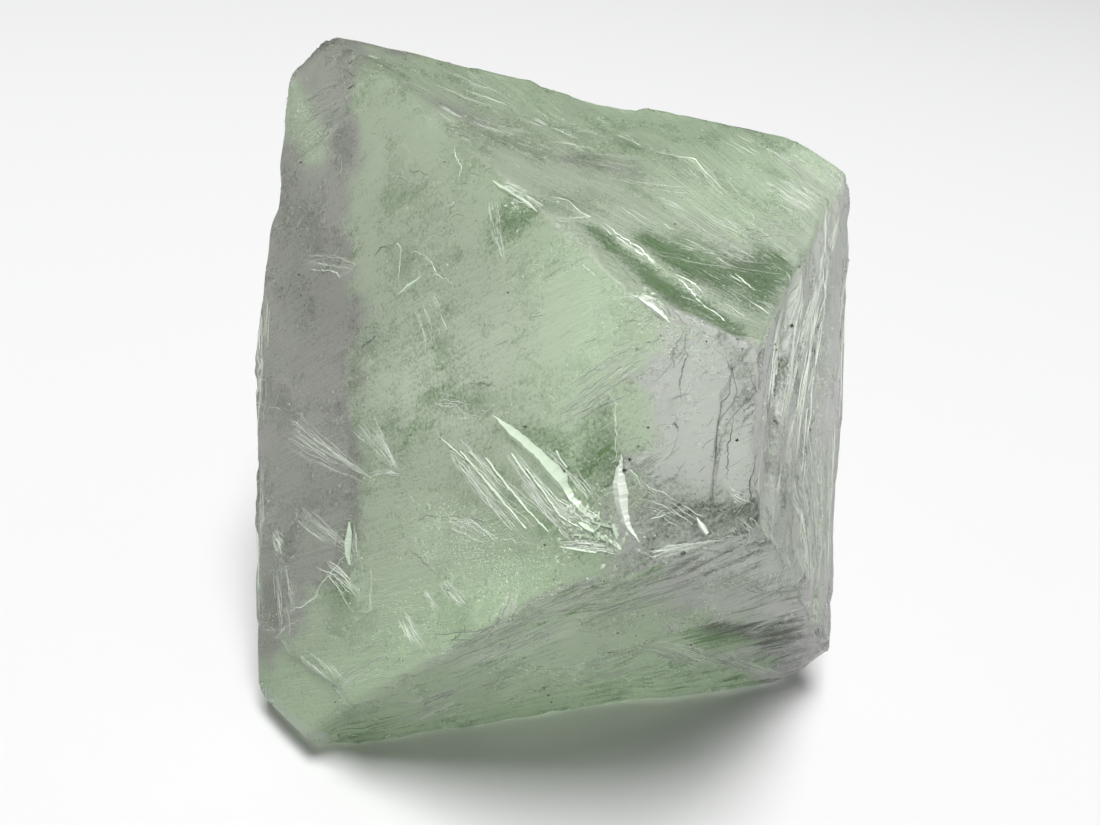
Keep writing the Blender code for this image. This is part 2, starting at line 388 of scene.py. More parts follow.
LILACS = (  # as TONES_AND_PAINTED_LIGHT, for how lilac the fluorite is
    ("front", -1.0, 0.60, ((-11.2, 8.9, 0.96), (-8.8, 7.8, 0.74))),
    ("top", 0.70, 0.60, ((-1.7, 8.0, 0.44), (-1.9, 6.2, 0.52))),
    ("top", 0.60, 0.70, ((-1.4, 2.4, 0.59), (-0.1, 0.7, 0.74))),
    ("top", 0.50, 0.70, ((-1.9, -3.3, 0.67), (-3.1, -5.4, 0.74))),
    ("top", 0.50, 0.50, ((8.3, -5.8, 0.67), (7.5, -7.4, 0.52))),
    ("lower_front", 0.9, 0.40, ((4.4, 1.1, 0.52), (8.7, -1.4, 0.67))),
    ("front_spall", 0.50, 0.50, ((6.0, -0.3, 0.74), (8.9, 0.4, 0.59))),
)


def shade(face, softness, way):
    """1 inside a rounded stretch of the skin along a way and 0 outside it. The edge lies
    where the distance to the way is its radius, and is as wide as twice the softness."""
    rows, points = np.array(way), stone_points
    spots, radii = on_skin(face, rows[:, :2]), rows[:, 2]
    inside = np.full(len(points), -9.0)
    for first, last, low, high in zip(spots[:-1], spots[1:], radii[:-1], radii[1:]):
        run = last - first
        part = np.clip((points - first) @ run / (run @ run), 0.0, 1.0)
        gap = np.linalg.norm(points - first - part[:, None] * run, axis=1)
        inside = np.maximum(inside, low + part * (high - low) - gap)
    ragged = 0.14 * cloud(points, 0.9, 61) + 0.08 * cloud(points, 0.35, 62)
    return eased(-softness, softness, inside + ragged)


def shaded(table):
    """The sum of a table's stretches, each times its strength."""
    return sum(strength * shade(face, softness, way) for face, strength, softness, way in table)


COMBED = (0.55, 0.40, 0.60, 1.5, 2.3, 0.8, 0.8, 1.2, 1.2, 0.5)  # how streaked each face is
face_numbers = {name: number for number, name in enumerate(FACES)}
named_faces = np.minimum(stone_faces, len(FACES) - 1)  # a tip counts as the last face
lilac_left = beyond(150.0, -24.3, 1.8, 0.8) * (1.0 - beyond(-50.5, -23.2, 3.4, 0.6))
clear_right, clear_low = beyond(-26.2, 12.6, 9.6, 0.7), beyond(-26.2, 12.6, 10.4, 0.6)
clear_right = np.where(stone_faces == face_numbers["lower_front"], clear_low, clear_right)
# The shade zone holds the stretches above: painted light and shade as well as paler and darker patches.
zones = {
    "combed": np.array(COMBED)[named_faces],
    "lilac": np.clip(lilac_left + shaded(LILACS), 0.0, 1.0),
    "clear": clear_right * np.where(stone_faces == face_numbers["top"], 0.3, 1.0),
    "shade": shaded(TONES_AND_PAINTED_LIGHT),
}
for name, level in zones.items():
    zone = stone_mesh.attributes.new(name, "FLOAT", "POINT")
    zone.data.foreach_set("value", level.astype(np.float32))

stone_skin = bpy.data.materials.new("fluorite_skin")
stone_skin.use_nodes = True
nodes, links = stone_skin.node_tree.nodes, stone_skin.node_tree.links
shader = nodes["Principled BSDF"]


def noise(nodes, links, source, scale, detail, stretch=(1, 1, 1), roughness=0.6):
    """A noise texture's value, read in stretched coordinates."""
    mapping = nodes.new("ShaderNodeMapping")
    mapping.inputs["Scale"].default_value = stretch
    links.new(source, mapping.inputs["Vector"])
    texture = nodes.new("ShaderNodeTexNoise")
    texture.inputs["Scale"].default_value = scale
    texture.inputs["Detail"].default_value = detail
    texture.inputs["Roughness"].default_value = roughness
    links.new(mapping.outputs["Vector"], texture.inputs["Vector"])
    return texture.outputs["Fac"]


def mixed(nodes, links, factor, first, second):
    """A colour mixed from two others, each a colour or a socket."""
    mix = nodes.new("ShaderNodeMix")
    mix.data_type = "RGBA"
    for socket, value in ((mix.inputs[0], factor), (mix.inputs[6], first), (mix.inputs[7], second)):
        if isinstance(value, bpy.types.NodeSocket):
            links.new(value, socket)
        else:
            socket.default_value = value
    return mix.outputs[2]


def ranged(nodes, links, value, low, high, to_low, to_high):
    """A value moved from one range to another, and kept inside it."""
    change = nodes.new("ShaderNodeMapRange")
    for name, number in (("From Min", low), ("From Max", high), ("To Min", to_low), ("To Max", to_high)):
        change.inputs[name].default_value = number
    links.new(value, change.inputs["Value"])
    return change.outputs["Result"]


def summed(nodes, links, *parts):
    """The sum of values, each times its share."""
    total = None
    for value, share in parts:
        step = nodes.new("ShaderNodeMath")
        step.operation = "MULTIPLY_ADD"
        links.new(value, step.inputs[0])
        step.inputs[1].default_value = share
        step.inputs[2].default_value = 0.0
        if total is not None:
            links.new(total, step.inputs[2])
        total = step.outputs[0]
    return total


def product(nodes, links, first, second):
    """One value times another."""
    times = nodes.new("ShaderNodeMath")
    times.operation = "MULTIPLY"
    links.new(first, times.inputs[0])
    links.new(second, times.inputs[1])
    return times.outputs[0]


def banded(nodes, links, value, centre, width):
    """1 where a value is at a centre, falling to 0 at a width from it."""
    compare = nodes.new("ShaderNodeMath")
    compare.operation = "SUBTRACT"
    links.new(value, compare.inputs[0])
    compare.inputs[1].default_value = centre
    away = nodes.new("ShaderNodeMath")
    away.operation = "ABSOLUTE"
    links.new(compare.outputs[0], away.inputs[0])
    return ranged(nodes, links, away.outputs[0], 0.0, width, 1.0, 0.0)


place = nodes.new("ShaderNodeTexCoord").outputs["Object"]
streak_uv = nodes.new("ShaderNodeUVMap")
streak_uv.uv_map = "streaks"
clouds = noise(nodes, links, place, 420.0, 5.0, roughness=0.62)
speckle = noise(nodes, links, place, 8000.0, 3.0, roughness=0.8)
fibres = noise(nodes, links, streak_uv.outputs["UV"], 1.0, 6.0, (0.35, 3.2, 1.0), 0.72)

levels = {}
for name in zones:
    read = nodes.new("ShaderNodeAttribute")
    read.attribute_name = name
    levels[name] = read.outputs["Fac"]
GREEN_PALE, GREEN_DEEP = (0.82, 1.0, 0.72, 1.0), (0.09, 0.23, 0.05, 1.0)
LILAC_PALE, LILAC_DEEP = (0.62, 0.61, 0.57, 1.0), (0.04, 0.05, 0.03, 1.0)
CLEAR_PALE, CLEAR_DEEP = (1.0, 0.95, 1.0, 1.0), (0.08, 0.09, 0.07, 1.0)
combing = product(nodes, links, fibres, levels["combed"])
# The shade zone makes the tint paler or deeper here, so its painted light and shade go into the base
# colour.
depth = summed(
    nodes, links,
    (clouds, -4.2), (speckle, -5.6), (combing, -5.4), (levels["combed"], 2.7),
    (levels["shade"], -0.75),
)
depth = ranged(nodes, links, depth, -5.02, -3.12, 0.0, 1.0)
green = mixed(nodes, links, depth, GREEN_PALE, GREEN_DEEP)
lilac = mixed(nodes, links, depth, LILAC_PALE, LILAC_DEEP)
clear = mixed(nodes, links, depth, CLEAR_PALE, CLEAR_DEEP)
tint = mixed(nodes, links, levels["clear"], green, clear)
tint = mixed(nodes, links, levels["lilac"], tint, lilac)
veins = banded(nodes, links, fibres, 0.5, 0.010)
tint = mixed(nodes, links, product(nodes, links, veins, levels["combed"]), tint, (0.97, 1.0, 0.96, 1.0))
links.new(tint, shader.inputs["Base Color"])
links.new(ranged(nodes, links, clouds, 0.3, 0.7, 0.22, 0.36), shader.inputs["Roughness"])
shader.inputs["IOR"].default_value = FLUORITE_IOR
shader.inputs["Transmission Weight"].default_value = 0.86
height = summed(nodes, links, (combing, 1.1), (speckle, 0.17), (clouds, 0.6))
bump = nodes.new("ShaderNodeBump")
bump.inputs["Strength"].default_value = 1.0
bump.inputs["Distance"].default_value = 0.00013
links.new(height, bump.inputs["Height"])
links.new(bump.outputs["Normal"], shader.inputs["Normal"])
stain = nodes.new("ShaderNodeVolumeAbsorption")
stain.inputs["Color"].default_value = (0.55, 0.75, 0.50, 1.0)
stain.inputs["Density"].default_value = 1.5
links.new(stain.outputs["Volume"], nodes["Material Output"].inputs["Volume"])
stone_mesh.materials.append(stone_skin)
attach(stone, "root")
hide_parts("fluorite_crystal")

# ---- The feathers ----------------------------------------------------------------
# Pale lines all over the stone, where cleavage steps and fine cracks come out at its
# skin and scatter the light. They run in fans and loose bundles, each a thin ridge.
FEATHERS = (  # face, from, to, spread at both, how many, half width, bow
    ("front", (-9.8, 8.4), (-7.7, 10.3), 1.3, 0.9, 36, 0.017, 0.1),
    ("front", (-9.9, 7.4), (-7.7, 9.4), 0.5, 0.4, 13, 0.012, 0.1),
    ("front", (-5.4, -3.4), (0.2, -3.0), 1.0, 0.2, 32, 0.017, -0.1),
    ("front", (-1.4, -1.1), (1.4, -2.0), 0.7, 0.2, 27, 0.012, 0.1),
    ("front", (0.1, -2.9), (1.7, -2.0), 0.1, 0.1, 18, 0.019, 0.1),
    ("front", (3.6, 0.3), (8.5, -0.5), 0.5, 0.8, 46, 0.016, -0.1),
    ("front", (6.0, 1.3), (11.0, 0.1), 0.4, 0.5, 51, 0.017, -0.1),
    ("front", (7.3, 2.4), (10.6, 1.4), 0.2, 0.3, 16, 0.016, 0.1),
    ("front", (8.6, 0.9), (11.3, 0.7), 0.2, 0.3, 27, 0.025, 0.1),
    ("front", (9.3, -0.6), (12.6, 0.3), 0.2, 0.2, 27, 0.025, 0.1),
    ("front", (4.6, -2.4), (7.1, -1.9), 0.4, 0.3, 23, 0.023, 0.2),
    ("front", (-3.0, -6.3), (0.3, -6.1), 0.5, 0.3, 27, 0.012, -0.1),
    ("front", (-0.7, -7.5), (1.9, -7.7), 0.4, 0.6, 23, 0.014, 0.1),
    ("front", (4.0, -6.8), (5.7, -7.6), 0.3, 0.4, 18, 0.015, 0.0),
    ("front", (4.7, -5.5), (5.8, -5.7), 0.2, 0.2, 13, 0.014, 0.0),
    ("front", (5.3, -4.6), (6.8, -4.8), 0.2, 0.4, 21, 0.014, 0.0),
    ("front", (0.0, -5.0), (1.0, -6.4), 0.3, 0.2, 16, 0.016, 0.0),
    ("front", (-4.2, -7.9), (-3.2, -8.5), 0.3, 0.3, 13, 0.019, 0.0),
    ("front", (-3.3, -8.9), (-1.2, -11.7), 0.6, 0.7, 18, 0.012, 0.1),
    ("front", (-9.7, 1.1), (-7.3, -4.6), 0.4, 0.4, 23, 0.014, 0.1),
    ("front", (-7.3, -4.6), (-2.8, -12.8), 0.4, 0.4, 23, 0.012, -0.1),
    ("front", (1.3, 9.2), (2.9, 7.3), 0.3, 0.2, 16, 0.012, -0.1),
    ("front", (-0.3, 4.6), (1.3, 3.2), 0.6, 0.7, 18, 0.012, 0.1),
    ("front", (1.9, 1.4), (4.1, 2.0), 0.3, 0.3, 23, 0.014, 0.1),
    ("front", (-7.8, 3.1), (-4.1, 4.3), 0.3, 0.3, 18, 0.015, 0.2),
    ("front", (7.8, 4.2), (9.9, 7.2), 0.6, 0.5, 46, 0.012, 0.1),
    ("front", (7.6, 3.2), (9.6, 5.7), 0.4, 0.4, 32, 0.012, 0.1),
    ("front", (1.9, -12.1), (4.6, -8.2), 0.6, 0.6, 27, 0.012, 0.1),
    ("front", (-0.5, -11.7), (3.1, -11.7), 0.6, 0.7, 23, 0.012, 0.1),
    ("top", (-2.1, 8.2), (-2.4, 6.3), 0.6, 0.6, 6, 0.018, -0.1),
    ("top", (0.9, 9.4), (1.4, 5.7), 1.0, 0.9, 4, 0.017, -0.1),
    ("top", (-2.7, 6.3), (-0.9, 3.0), 1.4, 1.5, 6, 0.014, -0.1),
    ("top", (1.9, 5.0), (1.7, 1.6), 1.4, 0.9, 9, 0.017, -0.1),
    ("top", (2.6, 2.2), (2.3, 0.1), 0.6, 0.8, 7, 0.022, -0.1),
    ("top", (-1.8, 2.7), (1.3, -2.0), 1.8, 2.0, 16, 0.014, -0.1),
    ("top", (4.7, -1.2), (1.7, -3.7), 0.6, 0.6, 7, 0.018, 0.1),
    ("top", (8.7, -2.3), (8.2, -5.1), 1.4, 1.4, 8, 0.017, -0.0),
    ("top", (5.8, -5.0), (4.7, -7.3), 2.1, 1.8, 48, 0.012, 0.0),
    ("top", (10.3, -5.0), (7.9, -7.7), 1.5, 1.5, 40, 0.015, -0.1),
    ("top", (-1.4, -1.0), (-1.4, -2.5), 0.6, 0.8, 6, 0.018, 0.0),
    ("top", (-3.4, -0.5), (-3.8, -2.2), 0.4, 0.4, 6, 0.015, -0.1),
    ("top", (-1.4, -4.7), (1.5, -6.5), 0.4, 0.8, 7, 0.017, 0.1),
    ("top", (-1.0, -3.1), (-1.5, -5.9), 1.7, 1.7, 10, 0.014, -0.1),
    ("top", (-4.6, -5.1), (-5.1, -6.8), 0.9, 0.9, 3, 0.015, -0.1),
    ("top", (-6.2, -5.5), (-6.9, -7.3), 0.9, 0.9, 3, 0.017, -0.1),
    ("top", (-5.2, -1.8), (-1.9, -6.6), 1.4, 1.7, 14, 0.011, -0.1),
    ("top", (-3.6, -6.7), (-3.6, -7.7), 0.4, 0.4, 5, 0.017, 0.0),
    ("top", (-5.8, 3.7), (-6.4, 1.7), 0.3, 0.3, 14, 0.030, 0.0),
    ("front_spall", (5.3, 0.7), (6.2, 0.2), 0.1, 0.1, 9, 0.023, 0.0),
    ("front_spall", (6.0, -0.7), (6.7, -0.1), 0.2, 0.2, 5, 0.019, 0.0),
    ("front_spall", (8.3, 1.2), (9.4, 0.7), 0.1, 0.2, 6, 0.021, -0.1),
    ("front_spall", (6.2, -1.9), (8.4, -0.9), 0.1, 0.1, 16, 0.027, 0.1),
    ("front_spall", (5.6, 0.0), (7.8, -0.6), 0.6, 0.5, 8, 0.017, 0.1),
    ("front_spall", (5.4, 1.0), (6.5, 2.3), 0.3, 0.3, 18, 0.017, 0.0),
    ("front_spall", (9.0, 0.0), (9.9, -0.6), 0.4, 0.3, 21, 0.017, 0.0),
    ("front_spall", (4.3, 6.9), (5.3, 6.1), 0.1, 0.2, 21, 0.035, 0.1),
    ("lower_front", (-5.7, 2.5), (-5.1, 6.3), 0.2, 0.2, 16, 0.030, -0.1),
    ("lower_front", (-4.0, 4.8), (-1.7, 7.3), 0.5, 0.5, 22, 0.024, -0.1),
    ("lower_front", (-3.4, 6.6), (-2.2, 8.1), 0.4, 0.2, 14, 0.025, -0.1),
    ("lower_front", (-8.3, -3.5), (-5.5, -1.0), 0.4, 0.2, 16, 0.035, -0.1),
    ("lower_front", (-8.1, -5.3), (-5.4, -3.0), 0.5, 0.6, 16, 0.025, -0.1),
    ("lower_front", (-7.7, 0.1), (-3.1, 5.0), 1.9, 1.3, 62, 0.019, -0.1),
    ("lower_front", (-3.2, 5.5), (1.6, 7.6), 1.7, 1.4, 62, 0.019, -0.1),
    ("lower_front", (1.3, 3.6), (3.2, 0.9), 0.4, 0.4, 34, 0.028, 0.0),
    ("lower_front", (1.4, 0.0), (6.2, -3.9), 0.6, 0.6, 34, 0.025, 0.1),
    ("lower_front", (4.8, -2.1), (10.6, -6.4), 0.4, 0.4, 40, 0.025, 0.0),
    ("lower_front", (3.4, 2.1), (6.6, 3.0), 0.4, 0.4, 19, 0.024, -0.1),
    ("lower_front", (6.9, -0.9), (8.1, 1.2), 0.5, 0.5, 19, 0.030, 0.0),
    ("lower_front", (2.5, 4.7), (5.1, 6.7), 1.7, 1.9, 40, 0.015, -0.1),
    ("lower_front", (-1.7, -1.4), (2.6, -1.0), 1.7, 1.7, 40, 0.019, -0.1),
    ("right", (7.5, 7.5), (-6.0, 1.2), 0.9, 1.4, 48, 0.020, -0.2),
    ("right", (9.7, 4.9), (4.9, -2.8), 1.0, 1.4, 31, 0.020, -0.1),
    ("right", (-4.7, 1.8), (-4.1, -6.4), 2.1, 2.7, 102, 0.022, 0.0),
    ("right", (1.2, -0.7), (-1.0, -8.9), 2.8, 2.3, 60, 0.020, 0.0),
    ("right", (-3.4, -6.9), (-0.7, -11.5), 1.0, 0.9, 36, 0.022, 0.0),
    ("right", (-0.2, 6.9), (-6.3, 3.6), 0.9, 1.0, 42, 0.026, -0.1),
    ("right", (-9.1, -0.6), (-7.0, -6.0), 0.7, 0.7, 36, 0.025, 0.0),
)
LOOSE_FEATHERS = 1700
HIDDEN_FANS = {"left_upper": 9, "left_lower": 12, "lower_back": 22, "upper_back": 22, "base": 10}
chance = np.random.default_rng(7)


def bundle_lines(start, end, spread, count, bow, steps=9):
    """Places along the lines of a bundle, as count x steps x 2. A line keeps its share u of
    the spread on its way, bows by 4 b t (1 - t), waves a little, and covers part of the way."""
    start, end = np.array(start), np.array(end)
    length = np.linalg.norm(end - start)
    ahead = (end - start) / length
    aside = np.array([-ahead[1], ahead[0]])
    first = chance.uniform(0.0, 0.7, (count, 1)) ** 1.4
    reach = chance.uniform(0.15, 0.8, (count, 1))
    t = first + np.minimum(reach, 1.0 - first) * np.linspace(0.0, 1.0, steps)
    share = chance.uniform(-1.0, 1.0, (count, 1))
    wave = 0.035 * np.sin(length * t * 4.0 + chance.uniform(0, 6.3, (count, 1)))
    wave += 0.020 * np.sin(length * t * 11.0 + chance.uniform(0, 6.3, (count, 1)))
    offset = share * (spread[0] + (spread[1] - spread[0]) * t) + 4.0 * bow * t * (1.0 - t) + wave
    return start + (t * length)[..., None] * ahead + offset[..., None] * aside


def tube_sides(count, steps):
    """Triangles of closed tubes with three corners at each of their steps."""
    number = np.arange(count * steps * 3).reshape(count, steps, 3)
    after = np.roll(number, -1, axis=2)
    near, far = number[:, :-1], number[:, 1:]
    near_after, far_after = after[:, :-1], after[:, 1:]
    sides = [np.stack([near, near_after, far], axis=-1), np.stack([near_after, far_after, far], axis=-1)]
    ends = [number[:, 0, ::-1], number[:, -1]]
    return np.vstack([part.reshape(-1, 3) for part in (*sides, *ends)])


def ridges(lines, outward, half_widths, tall, tilt):
    """Closed ridges along lines of points, as points and triangles. Each has three corners
    at every step: the feet, to either side of the line and sunk under the skin, and the top,
    tall half widths above it and tilt half widths aside."""
    ahead = np.gradient(lines, axis=1)
    aside = np.cross(outward, ahead)
    aside /= np.linalg.norm(aside, axis=2)[..., None]
    wide = half_widths[..., None]
    outward = np.broadcast_to(outward, lines.shape)
    left = lines - wide * aside - 0.3 * wide * outward
    right = lines + wide * aside - 0.3 * wide * outward
    top = lines + wide * (tilt * aside + tall * outward)
    points = np.stack([left, right, top], axis=2)
    return points.reshape(-1, 3), tube_sides(*lines.shape[:2])


def tapered(count, steps, half_width):
    """Half widths along ridges, w (sin pi t)^0.7, with a random w and almost closed ends."""
    t = np.linspace(0.0, 1.0, steps)
    size = half_width * chance.uniform(0.55, 1.15, (count, 1))
    return size * np.maximum(np.sin(np.pi * t), 0.0) ** 0.7 + 0.003


def ridge_piece(name, parts, material):
    """One piece made of sets of ridges, each given as points, triangles and tones."""
    starts = np.cumsum([0] + [len(points) for points, _, _ in parts[:-1]])
    points = np.vstack([part[0] for part in parts])
    triangles = np.vstack([part[1] + start for part, start in zip(parts, starts)])
    mesh = bpy.data.meshes.new(name)
    mesh.from_pydata(((points + HEART) * MM).tolist(), [], triangles.tolist())
    tone = mesh.attributes.new("tone", "FLOAT", "POINT")
    tone.data.foreach_set("value", np.concatenate([part[2] for part in parts]).astype(np.float32))
    mesh.materials.append(material)
    piece = bpy.data.objects.new(name, mesh)
    bpy.context.scene.collection.objects.link(piece)
    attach(piece, "root")
    return piece


def feather_part(face, places, half_width, tones):
    """Ridges along places in a face, with a tone for each line."""
    count, steps = places.shape[:2]
    outward = facing(*FACES[face][:2])
    points, triangles = ridges(on_skin(face, places), outward, tapered(count, steps, half_width), 0.7, 0.2)
    return points, triangles, np.repeat(tones, steps * 3)


feather_parts = []
for face, start, end, spread, spread_after, count, half_width, bow in FEATHERS:
    places = bundle_lines(start, end, (spread, spread_after), count, bow)
    tones = chance.uniform(0.3, 1.0, count) * (0.75 if face == "top" else 1.0)
    feather_parts.append(feather_part(face, places, half_width, tones))
for face, fans in HIDDEN_FANS.items():
    for _ in range(fans):
        start = chance.uniform(-7.0, 7.0, 2)
        turn = chance.uniform(0.0, 6.3)
        end = start + chance.uniform(2.5, 6.0) * np.array([np.cos(turn), np.sin(turn)])
        places = bundle_lines(start, end, chance.uniform(0.2, 1.2, 2), 12, chance.uniform(-0.3, 0.3))
        feather_parts.append(feather_part(face, places, 0.020, chance.uniform(0.4, 1.0, 12)))
picked = chance.integers(0, len(stone_points), LOOSE_FEATHERS)
for number, (name, (spread_from, _)) in enumerate(STREAKS.items()):
    spots = stone_points[picked[stone_faces[picked] == number]]
    places = np.stack([spots @ in_face(name, 0.0), spots @ in_face(name, 90.0)], axis=1)
    away = places - spread_from
    turn = np.arctan2(away[:, 1], away[:, 0]) + chance.normal(0.0, 0.35, len(places))
    reach = 0.25 + 1.1 * chance.uniform(0.0, 1.0, len(places)) ** 2.5
    run = (np.linspace(-0.5, 0.5, 6) * reach[:, None])[..., None]
    run = run * np.stack([np.cos(turn), np.sin(turn)], axis=1)[:, None]
    bend = 0.12 * np.sin(np.linspace(0, 3.1, 6))[None, :, None]
    bend = bend * chance.normal(0.0, 1.0, (len(places), 1, 2))
    lines = places[:, None] + run + bend * reach[:, None, None]
    feather_parts.append(feather_part(name, lines, 0.015, chance.uniform(0.3, 0.9, len(places))))


def scattering(name, dark, pale, through):
    """A material from dark to pale by the tone of each line, with a fine grain."""
    material = bpy.data.materials.new(name)
    material.use_nodes = True
    nodes, links = material.node_tree.nodes, material.node_tree.links
    shader = nodes["Principled BSDF"]
    place = nodes.new("ShaderNodeTexCoord").outputs["Object"]
    grey = noise(nodes, links, place, 4000.0, 2.0)
    read = nodes.new("ShaderNodeAttribute")
    read.attribute_name = "tone"
    level = summed(nodes, links, (read.outputs["Fac"], 1.0), (grey, 0.25))
    level = ranged(nodes, links, level, 0.1, 1.1, 0.0, 1.0)
    links.new(mixed(nodes, links, level, dark, pale), shader.inputs["Base Color"])
    shader.inputs["Roughness"].default_value = 0.35
    shader.inputs["IOR"].default_value = FLUORITE_IOR
    shader.inputs["Transmission Weight"].default_value = through
    return material


feather_white = scattering("feather_white", (0.04, 0.06, 0.03, 1), (0.88, 0.95, 0.84, 1), 0.15)
ridge_piece("fluorite_feathers", feather_parts, feather_white)

